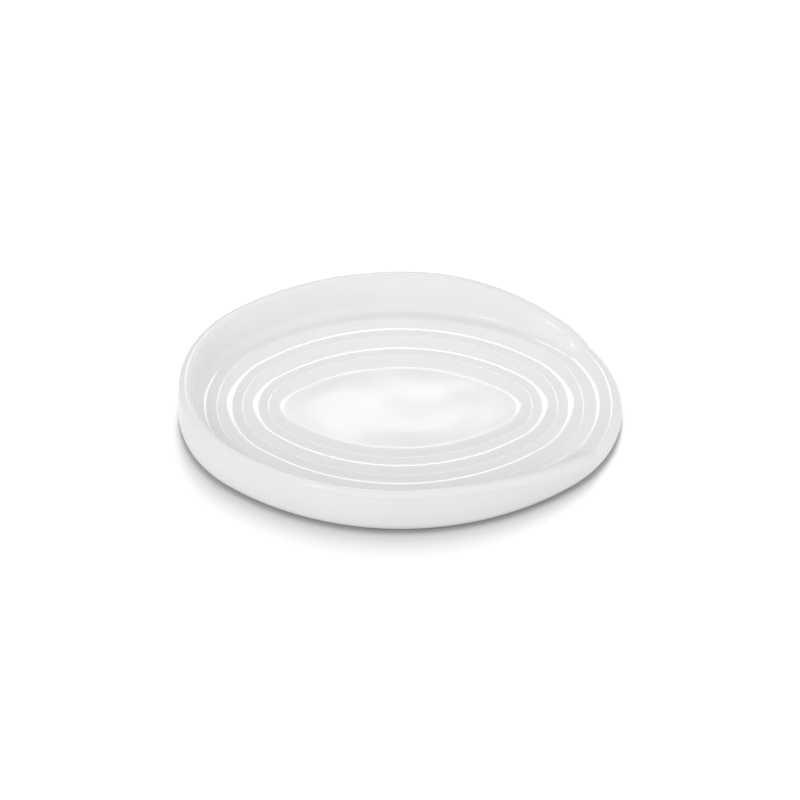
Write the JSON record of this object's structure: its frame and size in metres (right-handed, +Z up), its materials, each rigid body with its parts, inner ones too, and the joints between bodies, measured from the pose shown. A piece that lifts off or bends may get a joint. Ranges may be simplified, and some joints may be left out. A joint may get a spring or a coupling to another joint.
{
  "type": "spoon rest",
  "caption": "Oval glazed stoneware spoon rest: stepped rings round a flat floor, in a wall that sweeps down to a low lip where the spoon's handle lies.",
  "frame": {"origin": "on the table, under the middle of the dish's bounding box", "axes": "+X along the dish towards the low lip, +Y across it, +Z up"},
  "size_m": [0.1549, 0.1122, 0.0183],
  "materials": {
    "stoneware": "matte",
    "glaze": "gloss"
  },
  "bodies": {
    "root": {"stoneware_body": "stoneware", "glaze_coat": "glaze"}
  },
  "joints": []
}
